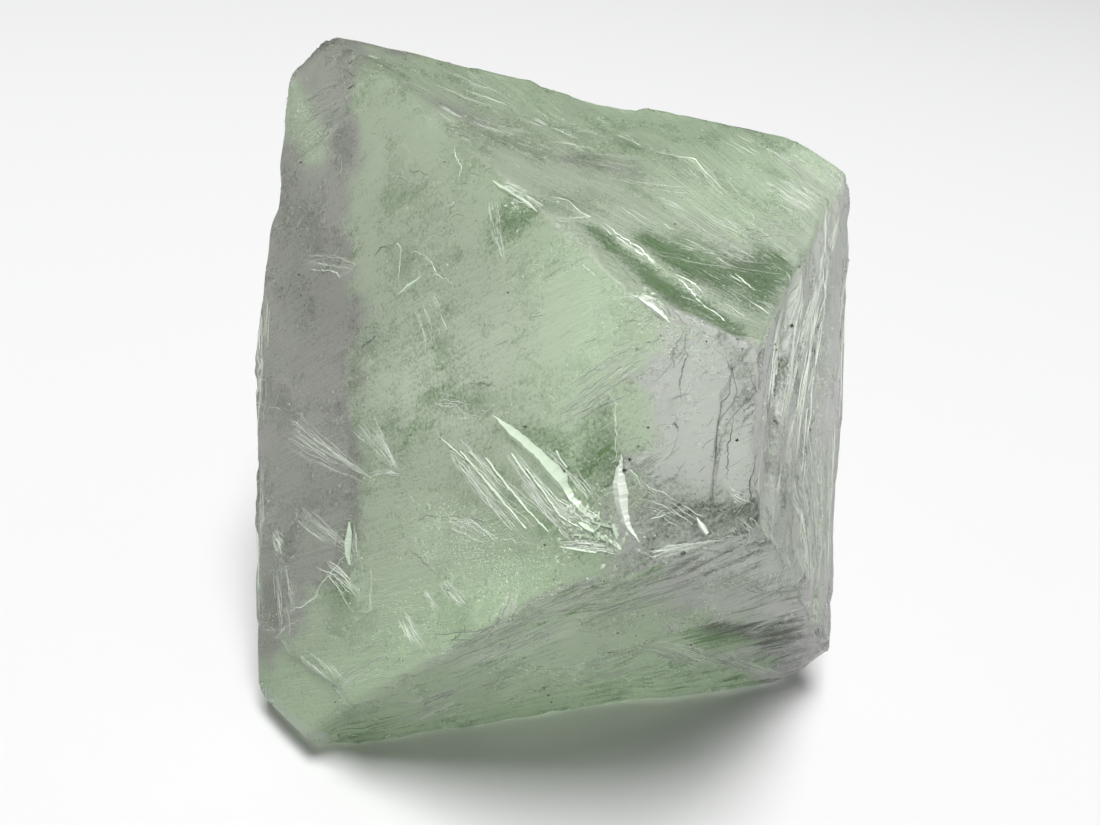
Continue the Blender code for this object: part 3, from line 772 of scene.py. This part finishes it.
# ---- The cracks ------------------------------------------------------------------
# Single cracks that come out at the skin. Most are white where they hold air, and a
# few are painted dark: painted shade for cracks that look dark where shadow inside the stone shows through
# them. Each follows its own crooked way.
CRACKS = (  # face, half width, tone from dark to white, way
    ("front", 0.035, 1.0, ((-1.7, 6.0), (-1.0, 6.1), (-0.4, 6.0), (0.0, 5.7), (0.6, 5.7), (1.2, 5.7))),
    ("front", 0.034, 0.9, ((-7.2, 3.1), (-6.4, 3.3), (-5.7, 3.6), (-5.0, 3.6), (-4.6, 4.0),
        (-4.2, 4.6))),
    ("front", 0.044, 0.9, ((0.4, -6.4), (0.1, -7.1), (-0.3, -8.1), (-0.5, -8.6), (-0.4, -8.9),
        (-1.0, -9.8), (-1.7, -10.6))),
    ("front", 0.040, 0.8, ((-0.8, -10.3), (-1.6, -11.3), (-2.0, -12.2), (-2.1, -12.8))),
    ("front", 0.034, 0.8, ((-1.4, -8.0), (-0.6, -7.7), (0.2, -7.5), (1.1, -7.7))),
    ("front", 0.035, 0.9, ((1.8, -5.8), (2.2, -6.7), (2.6, -7.7), (2.1, -8.0))),
    ("front", 0.040, 0.8, ((6.5, -1.9), (7.2, -1.6), (7.9, -1.3), (8.7, -0.9))),
    ("front", 0.035, 1.0, ((-1.2, 10.2), (-0.9, 9.9), (-0.5, 9.7), (-0.5, 9.2))),
    ("front", 0.034, 0.9, ((6.1, 8.5), (6.4, 8.5), (6.8, 8.4))),
    ("front", 0.034, 0.9, ((3.1, 0.9), (3.6, 1.4), (4.1, 1.8), (4.8, 2.6))),
    ("front", 0.031, 0.8, ((-2.6, 5.7), (-2.5, 6.0), (-2.2, 5.9), (-1.8, 4.7))),
    ("front", 0.034, 0.8, ((-0.8, 8.0), (-0.4, 8.3), (-0.3, 8.6))),
    ("front", 0.026, 0.05, ((3.2, -3.2), (3.6, -2.7), (4.4, -2.3), (5.2, -1.8))),
    ("front", 0.025, 0.05, ((5.5, -1.7), (6.0, -1.5), (6.4, -1.5))),
    ("front", 0.022, 0.1, ((3.3, 2.7), (3.9, 3.0), (4.6, 3.2))),
    ("front", 0.025, 0.05, ((-3.1, 9.0), (-3.1, 8.8), (-2.9, 8.7), (-2.5, 8.9), (-2.0, 8.9))),
    ("front_spall", 0.034, 0.1, ((6.2, 6.2), (6.0, 5.8), (6.0, 5.4), (6.2, 5.2), (6.1, 4.8),
        (6.1, 4.3), (6.3, 3.5))),
    ("front_spall", 0.025, 0.25, ((5.8, 5.5), (5.7, 5.2), (5.8, 4.7))),
    ("front_spall", 0.029, 0.15, ((7.4, 5.5), (7.7, 4.9), (7.9, 4.2), (7.6, 3.8), (7.7, 3.0),
        (7.8, 2.4), (7.9, 1.3), (8.2, 0.0))),
    ("front_spall", 0.031, 0.1, ((8.2, 3.5), (8.3, 2.8), (8.2, 2.5), (8.5, 1.3))),
    ("front_spall", 0.034, 0.1, ((9.6, 2.6), (9.3, 2.0), (9.2, 1.6), (9.3, 0.7), (9.3, 0.1),
        (9.3, -0.4))),
    ("front_spall", 0.029, 0.1, ((9.5, 1.1), (10.0, 1.0), (10.1, 1.3), (10.4, 1.5))),
    ("front_spall", 0.026, 0.15, ((8.9, -0.5), (9.1, -0.3), (9.3, -0.4), (9.6, -0.3))),
    ("front_spall", 0.025, 0.2, ((8.4, 3.6), (8.8, 4.1))),
    ("front_spall", 0.025, 0.2, ((8.5, 3.3), (8.9, 3.9))),
    ("front_spall", 0.025, 0.2, ((8.3, 3.8), (8.6, 4.2))),
    ("front_spall", 0.026, 0.1, ((6.2, 2.9), (6.4, 2.6))),
    ("front_spall", 0.026, 0.3, ((4.9, 0.9), (5.3, 1.1), (5.8, 1.5))),
    ("front_spall", 0.049, 0.9, ((6.3, -1.8), (6.7, -1.5), (7.2, -1.3), (7.8, -1.2), (8.2, -0.9))),
    ("top", 0.058, 1.0, ((-5.5, -0.4), (-5.9, -1.2), (-6.1, -2.0), (-6.7, -2.8), (-7.2, -3.0))),
    ("top", 0.058, 1.0, ((-6.7, -3.5), (-6.7, -4.0), (-6.8, -4.3), (-7.1, -4.7))),
    ("top", 0.035, 1.0, ((-5.4, 1.7), (-5.1, 1.2), (-5.6, 0.5), (-5.5, 0.1), (-6.8, 1.1))),
    ("top", 0.040, 0.9, ((2.6, 0.0), (3.9, -1.6), (3.0, -2.3), (2.3, -3.0), (1.7, -3.6))),
    ("top", 0.025, 0.1, ((7.0, -1.0), (6.5, -1.7), (5.8, -2.6))),
    ("top", 0.026, 0.15, ((10.1, -2.5), (10.0, -3.2), (10.3, -4.0), (10.0, -4.8), (10.1, -5.5))),
    ("top", 0.049, 1.0, ((-3.3, -2.2), (-3.5, -2.4), (-3.4, -2.6))),
    ("top", 0.035, 1.0, ((-4.6, -5.3), (-5.0, -5.8), (-5.2, -6.3))),
    ("lower_front", 0.040, 1.0, ((-5.7, 4.1), (-5.5, 5.2), (-5.3, 6.1), (-5.0, 6.3), (-4.0, 6.0))),
    ("lower_front", 0.029, 0.05, ((-5.5, 4.0), (-5.4, 5.3), (-5.2, 5.9))),
    ("lower_front", 0.040, 1.0, ((3.1, 0.3), (4.6, -1.4), (6.0, -3.6))),
    ("lower_front", 0.053, 1.0, ((7.0, -0.8), (7.3, -0.6), (7.7, -0.6))),
    ("lower_front", 0.034, 0.05, ((4.0, 5.7), (4.5, 5.2), (5.3, 4.8))),
    ("lower_front", 0.029, 0.05, ((-7.1, 2.5), (-6.8, 3.1), (-6.6, 3.7))),
    ("lower_front", 0.029, 0.1, ((5.7, 4.4), (5.8, 4.9), (6.0, 5.2))),
    ("lower_front", 0.025, 0.15, ((1.2, 9.4), (1.9, 9.0), (2.5, 9.1))),
    ("lower_front", 0.025, 0.15, ((2.5, 8.2), (3.0, 8.2), (3.2, 9.1))),
    ("lower_front", 0.035, 0.05, ((3.4, 2.1), (3.8, 2.2), (4.2, 2.4))),
    ("right", 0.031, 0.1, ((0.1, -1.6), (-1.0, -2.4), (-1.9, -3.8), (-2.6, -6.2))),
    ("right", 0.026, 0.1, ((-5.3, -1.9), (-6.4, -2.4), (-5.4, -3.8))),
    ("right", 0.026, 0.1, ((-6.2, 0.6), (-6.4, -0.1), (-7.0, -0.7))),
    ("right", 0.029, 0.1, ((-0.8, 1.0), (-1.9, 1.1), (-2.7, 1.1))),
    ("right", 0.025, 0.15, ((9.2, 4.5), (7.5, 3.2), (6.0, 1.4), (3.6, 0.0))),
    ("right", 0.025, 0.15, ((1.3, -1.8), (-0.1, -2.4))),
    ("right", 0.029, 0.05, ((-5.8, 6.3), (-6.5, 6.1), (-7.2, 5.9))),
    ("right", 0.026, 0.15, ((-2.9, -7.1), (-2.3, -8.1))),
    ("front", 0.037, 0.0, ((-8.1, 12.1), (-8.3, 11.7), (-8.6, 11.3))),
    ("front", 0.033, 0.0, ((-8.6, 11.3), (-7.8, 11.2), (-7.7, 11.0))),
    ("front", 0.033, 0.05, ((-7.7, 10.9), (-8.0, 10.6))),
    ("front", 0.044, 0.0, ((-2.9, 5.8), (-3.3, 5.5), (-3.5, 5.1))),
    ("front", 0.033, 0.0, ((-2.0, 2.5), (-2.2, 2.0), (-2.5, 1.7), (-2.5, 1.4), (-2.2, 1.4))),
    ("front", 0.033, 0.1, ((3.3, -4.3), (4.2, -4.3), (5.1, -4.5))),
    ("front", 0.037, 0.95, ((8.9, 5.1), (9.5, 5.1), (9.8, 4.6), (10.1, 4.0), (10.6, 3.2))),
    ("front", 0.037, 0.5, ((8.9, 5.1), (8.7, 4.5), (8.5, 3.9), (8.6, 3.4))),
    ("front_spall", 0.037, 0.85, ((5.8, -1.7), (6.6, -1.9), (7.1, -1.6), (7.8, -1.2), (8.2, -0.9),
        (8.7, -0.7), (9.6, -0.4))),
    ("front_spall", 0.033, 0.15, ((5.9, -1.5), (6.7, -1.7), (7.5, -1.2), (8.4, -0.7), (9.4, -0.2))),
    ("front_spall", 0.026, 0.35, ((6.9, 5.6), (7.4, 5.3), (7.9, 4.8), (8.2, 4.3), (7.9, 3.6),
        (7.7, 2.9), (7.8, 1.9), (8.0, 0.5))),
    ("front_spall", 0.026, 0.35, ((7.4, 5.8), (8.0, 5.5), (8.4, 5.0), (8.8, 4.5), (8.5, 4.0),
        (8.1, 3.3), (8.0, 2.5), (8.1, 1.2))),
    ("top", 0.036, 0.95, ((-5.8, -0.4), (-6.1, -1.0), (-6.2, -1.7), (-6.3, -2.4), (-6.8, -2.9))),
    ("top", 0.040, 0.95, ((-6.8, -3.5), (-7.1, -4.1), (-7.5, -4.7), (-8.0, -5.6), (-8.4, -6.3))),
    ("top", 0.033, 0.1, ((-6.6, -0.2), (-8.3, -2.6), (-9.2, -4.7), (-9.2, -6.2))),
    ("lower_front", 0.037, 0.1, ((4.3, 5.8), (5.0, 5.1), (5.5, 4.8))),
    ("right", 0.033, 0.2, ((-3.0, 2.6), (-4.0, 1.4), (-5.2, 0.8))),
    ("right", 0.033, 0.3, ((-5.3, 6.7), (-5.5, 4.8), (-6.8, 3.4), (-8.0, 2.1))),
    ("right", 0.033, 0.3, ((-0.1, -0.4), (-1.7, -1.9), (-3.1, -4.0), (-3.8, -5.5))),
)


def along(way, steps, shake=0.03):
    """Places at even steps along a way of straight stretches, shaken a little sideways."""
    way = np.array(way)
    gone = np.append(0.0, np.cumsum(np.linalg.norm(np.diff(way, axis=0), axis=1)))
    spots = np.linspace(0.0, gone[-1], steps)
    places = np.stack([np.interp(spots, gone, way[:, axis]) for axis in (0, 1)], axis=1)
    jitter = chance.normal(0.0, shake, (steps, 2))
    jitter[[0, -1]] = 0.0
    return places + jitter


CRACK_STEPS = 26
crack_parts = []
for face, half_width, tone, way in CRACKS:
    lines = on_skin(face, along(way, CRACK_STEPS)[None])
    outward = facing(*FACES[face][:2])
    thick = tapered(1, CRACK_STEPS, half_width * 0.8) * chance.uniform(0.6, 1.2, CRACK_STEPS)
    points, triangles = ridges(lines, outward, thick, 0.6, 0.2)
    crack_parts.append((points, triangles, np.full(len(points), tone)))
ridge_piece("fluorite_cracks", crack_parts, feather_white)

# ---- The slivers, painted glints -------------------------------------------------
# Narrow pale blades that stand a little off the stone along open cracks. Their pale colour
# is a painted glint: it stands for the light that cracks inside the stone reflect.
CRACK_GLINTS = (  # face, tone, one side, the other side
    ("front", 1.0,
        ((-1.65, 4.16), (-1.27, 4.43), (-1.06, 4.72), (-0.82, 5.04), (-0.57, 5.46)),
        ((-1.70, 4.18), (-1.49, 4.50), (-1.32, 4.81), (-0.98, 5.10), (-0.64, 5.49))),
    ("front", 0.85,
        ((1.09, 9.75), (1.56, 9.56), (2.15, 9.53), (2.76, 9.51), (3.50, 9.45)),
        ((1.12, 9.83), (1.63, 9.85), (2.24, 9.90), (2.84, 9.71), (3.53, 9.52))),
    ("front_spall", 0.95,
        ((4.06, 6.73), (4.35, 6.52), (4.70, 6.32), (5.02, 6.17), (5.37, 6.06)),
        ((4.09, 6.79), (4.45, 6.77), (4.86, 6.62), (5.16, 6.40), (5.41, 6.12))),
    ("front", 0.9,
        ((-0.08, -5.13), (0.02, -5.59), (0.07, -6.02), (0.33, -6.42), (0.73, -6.66)),
        ((0.04, -5.07), (0.33, -5.43), (0.50, -5.79), (0.62, -6.21), (0.83, -6.57))),
    ("front", 1.0,
        ((4.85, 2.16), (5.99, 1.81), (6.69, 1.73), (7.40, 1.59), (8.04, 1.40), (8.75, 1.23),
         (8.95, 1.17), (9.29, 1.03), (9.95, 0.90), (10.42, 0.82), (10.86, 0.78)),
        ((4.87, 2.20), (5.84, 2.29), (6.54, 2.21), (7.06, 2.21), (7.69, 2.11), (8.23, 2.03),
         (8.84, 1.93), (8.97, 1.57), (9.46, 1.31), (10.08, 1.23), (10.85, 0.82))),
    ("front_spall", 1.0,
        ((4.67, 1.42), (4.55, 0.35), (4.77, -0.25), (5.01, -0.72), (5.27, -1.06), (5.86, -1.45)),
        ((4.72, 1.43), (4.89, 0.88), (5.21, 0.24), (5.31, -0.39), (5.49, -0.88), (5.89, -1.42))),
    ("front_spall", 0.95,
        ((7.60, -0.21), (7.71, -0.50), (7.95, -0.71)),
        ((7.63, -0.15), (7.95, -0.34), (8.15, -0.59))),
    ("front", 0.9,
        ((9.55, -0.57), (10.04, -0.50), (10.69, -0.40), (11.29, -0.25)),
        ((9.59, -0.47), (10.13, -0.33), (10.75, -0.19), (11.39, -0.12))),
    ("front", 1.0,
        ((9.89, 0.51), (10.30, 0.38), (10.80, 0.39)),
        ((10.16, 0.66), (10.58, 0.66), (11.02, 0.63))),
    ("front", 1.0,
        ((11.66, 0.34), (12.02, 0.27), (12.52, 0.23)),
        ((11.86, 0.60), (12.21, 0.53), (12.57, 0.39))),
    ("front", 0.8,
        ((10.93, 0.47), (11.35, 0.29), (11.84, 0.30)),
        ((11.12, 0.58), (11.56, 0.53), (11.94, 0.42))),
    ("front", 0.95,
        ((11.51, 0.96), (11.80, 0.71), (12.03, 0.56)),
        ((11.74, 1.16), (12.00, 0.96), (12.19, 0.73))),
    ("front", 0.45,
        ((10.64, 0.72), (11.13, 0.73), (11.72, 0.87)),
        ((10.71, 0.91), (11.24, 1.01), (11.77, 1.04))),
    ("front", 0.4,
        ((9.82, -0.05), (10.44, 0.10), (10.91, 0.17)),
        ((9.91, 0.12), (10.50, 0.33), (10.97, 0.32))),
    ("front", 0.9,
        ((6.22, 1.33), (6.83, 1.06), (7.37, 0.91)),
        ((6.33, 1.42), (6.90, 1.19), (7.44, 1.01))),
    ("front", 0.9,
        ((4.00, 0.24), (5.60, -0.14), (6.72, -0.43), (7.99, -0.71)),
        ((4.08, 0.33), (5.68, -0.02), (6.80, -0.32), (8.04, -0.65))),
    ("front", 0.9,
        ((5.23, 0.61), (6.60, 0.19), (7.69, -0.10), (8.90, -0.33)),
        ((5.30, 0.70), (6.68, 0.29), (7.75, -0.01), (8.94, -0.27))),
    ("front", 0.85,
        ((2.87, 0.22), (4.07, 0.11), (5.29, 0.08)),
        ((2.94, 0.29), (4.14, 0.20), (5.34, 0.14))),
    ("front", 0.9,
        ((7.05, 1.18), (8.17, 0.77), (9.07, 0.40), (10.30, 0.38)),
        ((7.16, 1.27), (8.25, 0.87), (9.16, 0.50), (10.36, 0.47))),
    ("front", 0.9,
        ((7.92, 2.37), (8.23, 2.18), (8.62, 2.03)),
        ((8.03, 2.43), (8.29, 2.25), (8.68, 2.12))),
    ("front", 0.9,
        ((11.38, 3.17), (11.88, 3.11), (12.47, 2.69)),
        ((11.43, 3.25), (11.94, 3.18), (12.51, 2.74))),
)


def sliver(sides, outward):
    """A closed blade between two sides of points on the skin, as points and triangles. Its
    back stands off the skin by a quarter of its width, nearer to the first side."""
    steps = sides.shape[1]
    wide = np.linalg.norm(sides[1] - sides[0], axis=1)[:, None]
    back = 0.6 * sides[0] + 0.4 * sides[1] + (0.25 * wide + 0.01) * outward
    points = np.stack([sides[0] - 0.02 * outward, sides[1] - 0.02 * outward, back], axis=1)
    return points.reshape(-1, 3), tube_sides(1, steps)


SLIVER_STEPS, SLIVER_SHAKE = 40, 0.0045  # the shake is a share of a sliver's length
glint_parts = {True: [], False: []}
for face, tone, *sides in CRACK_GLINTS:
    outward = facing(*FACES[face][:2])
    length = np.linalg.norm(np.subtract(sides[0][-1], sides[0][0]))
    sides = on_skin(face, np.stack([along(side, SLIVER_STEPS, SLIVER_SHAKE * length) for side in sides]))
    points, triangles = sliver(sides, outward)
    tones = tone * chance.uniform(0.93, 1.0, (SLIVER_STEPS, 1)) * (1.0, 0.85, 1.0)
    glint_parts[face == "front"].append((points, triangles, tones.ravel()))
# The blades' pale colours are painted glints.
crack_glint_green = scattering("crack_glint_green", (0.10, 0.16, 0.06, 1), (0.80, 0.93, 0.75, 1), 0.3)
ridge_piece("fluorite_crack_glints", glint_parts[True], crack_glint_green)
ridge_piece("fluorite_white_crack_glints", glint_parts[False], feather_white)

# ---- The frost and painted glow --------------------------------------------------
# Tiny bruises and scales where the skin is chipped. They are also piled thickest where the
# tint is painted paler, as painted light. Each is a flat pale flake that sits half in the skin.
GEM_SIDES = np.array([
    (0, 1, 4), (1, 2, 4), (2, 3, 4), (3, 0, 4), (1, 0, 5), (2, 1, 5), (3, 2, 5), (0, 3, 5),
])


def gems(corners):
    """Points and triangles of closed flakes with six corners, four around and two tips."""
    sides = GEM_SIDES + 6 * np.arange(len(corners))[:, None, None]
    return corners.reshape(-1, 3), sides.reshape(-1, 3)


BRUISES_AND_GLOW = (  # face, level, uphill, spread, how many, longest
    # painted light, partly the face's fine white texture: flakes piled on the lower front, which faces
    # down into shade
    ("lower_front", -5.0, -5.4, 1.48, 170, 0.07),
    ("lower_front", -0.7, -4.0, 1.85, 240, 0.07),
    ("lower_front", 3.5, -3.8, 1.63, 240, 0.07),
    ("lower_front", -0.0, 0.5, 1.48, 120, 0.06),
    ("lower_front", 3.0, 6.4, 0.89, 150, 0.06),
    # painted light: flakes piled in the glow low on the front
    ("front", 5.2, -3.1, 2.04, 420, 0.08),
    ("front", 8.0, -3.2, 1.63, 330, 0.08),
    ("front", -10.6, 8.9, 1.26, 260, 0.07),
    # painted highlight, partly fine frost: flakes piled at the glare on the far end of the top
    ("top", 9.8, -6.3, 1.11, 200, 0.07),
    ("right", -2.4, -3.5, 1.48, 90, 0.09),
    ("front", 10.8, 0.6, 0.74, 90, 0.20),
    ("front", 9.6, 0.8, 0.52, 60, 0.16),
    ("front", 11.8, 0.5, 0.52, 70, 0.20),
    ("front", 9.5, -0.6, 0.81, 60, 0.14),
    ("front_spall", 4.6, 6.7, 0.44, 50, 0.14),
    ("front", 2.5, 9.7, 0.59, 60, 0.12),
    ("front_spall", 7.5, -1.3, 0.96, 60, 0.07),
    ("right", -2.3, -8.3, 0.81, 90, 0.14),
    ("front", -9.9, 8.6, 1.11, 170, 0.06),
    # painted highlight, partly fine frost: more flakes at the same glare
    ("top", 9.6, -6.2, 0.96, 260, 0.06),
    ("right", -8.0, 7.2, 0.52, 60, 0.08),
    ("lower_front", 3.1, 1.8, 0.81, 70, 0.10),
    ("top", -2.7, 6.3, 1.11, 60, 0.06),
    ("front", -9.0, 9.9, 0.89, 90, 0.05),
    ("lower_front", 7.5, -4.1, 0.89, 70, 0.08),
    ("front", -2.8, 9.7, 0.81, 70, 0.05),
)
FROST, LONGEST_FROST = 5500, 0.075
# The frost is drawn toward the painted light of the shade zone.
frost_and_glow_share = 0.12 + np.clip(zones["shade"], 0.0, 3.0) ** 1.5
frost_and_glow_share *= np.clip(1.0 + 1.6 * cloud(stone_points, 2.2, 71), 0.1, 3.0)
frosted = chance.choice(len(stone_points), FROST, p=frost_and_glow_share / frost_and_glow_share.sum())
frost_places, frost_faces = [stone_points[frosted]], [named_faces[frosted]]
frost_long = [np.full(FROST, LONGEST_FROST)]
for face, level, uphill, spread, count, longest in BRUISES_AND_GLOW:
    frost_places.append(on_skin(face, chance.normal((level, uphill), 0.6 * spread, (count, 2))))
    frost_faces.append(np.full(count, face_numbers[face]))
    frost_long.append(np.full(count, longest))
frost_places, frost_faces = np.vstack(frost_places), np.concatenate(frost_faces)
frost_count = len(frost_places)
frost_across = np.cross(frost_places, chance.normal(0.0, 1.0, (frost_count, 3)))
frost_across /= np.linalg.norm(frost_across, axis=1)[:, None]
frost_out = np.array([facing(*plane[:2]) for plane in FACES.values()])[frost_faces]
moved = chance.normal(0.0, 0.08, (frost_count, 3))
moved -= (moved * frost_out).sum(axis=1)[:, None] * frost_out
frost_places = frost_places + moved + frost_out * chance.uniform(0.0, 0.025, (frost_count, 1))
frost_across -= (frost_across * frost_out).sum(axis=1)[:, None] * frost_out
frost_aside = np.cross(frost_out, frost_across)
frost_long = np.concatenate(frost_long)[:, None] * chance.uniform(0.25, 1.0, (frost_count, 1))
frost_wide = frost_long * chance.uniform(0.15, 0.7, (frost_count, 1))
frost_corners = np.stack([
    frost_places + frost_across * frost_long, frost_places + frost_aside * frost_wide,
    frost_places - frost_across * frost_long, frost_places - frost_aside * frost_wide * 0.7,
    frost_places + frost_out * 0.014, frost_places - frost_out * 0.03,
], axis=1)
frost_tones = np.repeat(chance.uniform(0.3, 1.0, frost_count), 6)
frost_and_glow_white = scattering("frost_and_glow_white", (0.16, 0.24, 0.11, 1), (0.86, 0.98, 0.80, 1), 0.15)
ridge_piece("fluorite_frost_and_glow", [(*gems(frost_corners), frost_tones)], frost_and_glow_white)

# ---- The dust --------------------------------------------------------------------
# Specks of dark dirt that lie in the stone's small pits and along its steps.
SPECKS = (  # face, specks as place along its level line, uphill, and radius
    ("front", ((-9.4, 7.0, 0.07), (-9.4, 6.3, 0.04), (-7.5, 2.7, 0.06), (2.1, -2.6, 0.04),
        (9.0, -0.8, 0.06), (6.6, 3.8, 0.04), (6.4, 2.5, 0.05), (6.6, 3.8, 0.04), (8.6, 1.9, 0.06),
        (2.9, 0.2, 0.04), (0.9, -6.0, 0.04), (9.9, -1.7, 0.04), (2.3, -12.9, 0.05),
        (2.0, -12.0, 0.04), (4.9, -10.6, 0.04), (5.8, -4.7, 0.04), (-1.4, 9.6, 0.04))),
    ("front_spall", ((4.9, 0.9, 0.10), (5.0, 1.3, 0.06), (5.4, 2.5, 0.05), (5.2, 1.8, 0.04),
        (8.5, 2.7, 0.07), (6.7, 5.7, 0.05), (5.2, 5.6, 0.04), (7.8, 2.3, 0.04), (7.7, 6.0, 0.04),
        (7.4, 0.6, 0.04), (7.9, 5.7, 0.04))),
    ("right", ((-2.7, 5.8, 0.09), (-4.1, 5.8, 0.06), (-4.0, 5.5, 0.06), (-6.0, 6.6, 0.04),
        (-5.1, 6.0, 0.04), (-6.5, 5.5, 0.04), (-3.4, 6.6, 0.04), (9.2, 4.4, 0.04),
        (9.1, 4.1, 0.04), (8.6, 3.7, 0.04), (-2.9, 1.2, 0.06), (-6.7, 4.8, 0.04),
        (-8.7, 0.5, 0.05), (-4.2, 6.1, 0.04))),
    ("lower_front", ((-1.0, 2.8, 0.04), (-0.3, 2.8, 0.05), (2.1, 1.9, 0.05), (0.6, 2.3, 0.04),
        (4.5, -1.4, 0.06), (5.7, -3.1, 0.04), (4.8, 2.7, 0.04), (8.2, 0.2, 0.05),
        (-0.5, 0.6, 0.04), (0.0, 0.5, 0.07), (0.3, 0.1, 0.06), (0.7, -0.1, 0.04),
        (-1.5, -5.0, 0.08), (-1.1, -6.2, 0.06), (-0.8, -6.9, 0.04), (-2.1, -3.0, 0.06),
        (1.4, 1.2, 0.04), (3.0, -1.9, 0.04))),
    ("top", ((-2.8, -2.5, 0.05), (-4.7, -5.0, 0.04), (-10.1, 2.1, 0.04))),
)
LOOSE_SPECKS = 260
speck_places = [on_skin(face, np.array(rows)[:, :2]) for face, rows in SPECKS]
speck_sizes = [np.array(rows)[:, 2] for _, rows in SPECKS]
speck_places.append(stone_points[chance.integers(0, len(stone_points), LOOSE_SPECKS)])
speck_sizes.append(chance.uniform(0.010, 0.032, LOOSE_SPECKS))
speck_places, speck_sizes = np.vstack(speck_places), np.concatenate(speck_sizes)
SPECK_CORNERS = np.array([(1, 0, 0), (0, 1, 0), (-1, 0, 0), (0, -1, 0), (0, 0, 1), (0, 0, -1)])
speck_shapes = SPECK_CORNERS * chance.uniform(0.6, 1.4, (len(speck_places), 6, 1))
speck_shapes = speck_shapes * speck_sizes[:, None, None]
speck_points, speck_sides = gems(speck_places[:, None] + speck_shapes)
dust = bpy.data.materials.new("dark_dust")
dust.use_nodes = True
nodes, links = dust.node_tree.nodes, dust.node_tree.links
place = nodes.new("ShaderNodeTexCoord").outputs["Object"]
grime = noise(nodes, links, place, 9000.0, 2.0)
browned = mixed(nodes, links, grime, (0.02, 0.02, 0.015, 1), (0.09, 0.08, 0.06, 1))
shader = nodes["Principled BSDF"]
links.new(browned, shader.inputs["Base Color"])
shader.inputs["Roughness"].default_value = 0.9
speck_tones = np.zeros(len(speck_points))
ridge_piece("fluorite_dust", [(speck_points, speck_sides, speck_tones)], dust)

# ---- The ground, the light and the camera ---------------------------------------
# The stone lies on pale matt paper, under one large soft window of light from above,
# in a room that lights its shadows. The camera is close and looks down at its apex.
floor_mesh = bpy.data.meshes.new("paper")
floor_mesh.from_pydata([(-3, -3, 0), (3, -3, 0), (3, 3, 0), (-3, 3, 0)], [], [(0, 1, 2, 3)])
floor = bpy.data.objects.new("paper", floor_mesh)
bpy.context.scene.collection.objects.link(floor)
paper = bpy.data.materials.new("paper")
paper.use_nodes = True
shader = paper.node_tree.nodes["Principled BSDF"]
shader.inputs["Base Color"].default_value = (0.62, 0.62, 0.62, 1)
shader.inputs["Roughness"].default_value = 1.0
floor_mesh.materials.append(paper)

world = bpy.data.worlds.new("studio")
world.use_nodes = True
background = world.node_tree.nodes["Background"]
background.inputs["Color"].default_value = (0.97, 0.99, 1.0, 1)
background.inputs["Strength"].default_value = 0.20
bpy.context.scene.world = world
light_data = bpy.data.lights.new("window", "AREA")
light_data.shape = "RECTANGLE"
light_data.size, light_data.size_y = 0.24, 0.24
light_data.energy = 5.1
light = bpy.data.objects.new("window", light_data)
bpy.context.scene.collection.objects.link(light)
light.location = (0.0, -0.045, 0.6)
toward_stone = Vector((0, 0, 0.01)) - light.location
light.rotation_euler = toward_stone.to_track_quat("-Z", "Y").to_euler()

CAMERA_PLACE = (-0.0007, -0.0411, 0.0387)
CAMERA_DROP = 33.4
CAMERA_ROLL = 6.9
FRAME_WIDTH, FOCAL_PIXELS = 1100.0, 1050.0
camera_data = bpy.data.cameras.new("camera")
camera_data.sensor_width = 36.0
camera_data.lens = 36.0 * FOCAL_PIXELS / FRAME_WIDTH
camera_data.clip_start = 0.001
camera = bpy.data.objects.new("camera", camera_data)
bpy.context.scene.collection.objects.link(camera)
drop, roll = np.radians(CAMERA_DROP), np.radians(CAMERA_ROLL)
ahead = Vector((0, np.cos(drop), -np.sin(drop)))
level = Vector((1, 0, 0))
upright = level.cross(ahead)
right = level * np.cos(roll) + upright * np.sin(roll)
up = right.cross(ahead)
turn = Matrix((right, up, -ahead)).transposed().to_4x4()
camera.matrix_world = Matrix.Translation(CAMERA_PLACE) @ turn
bpy.context.scene.camera = camera
bpy.context.scene.view_settings.view_transform = "Standard"
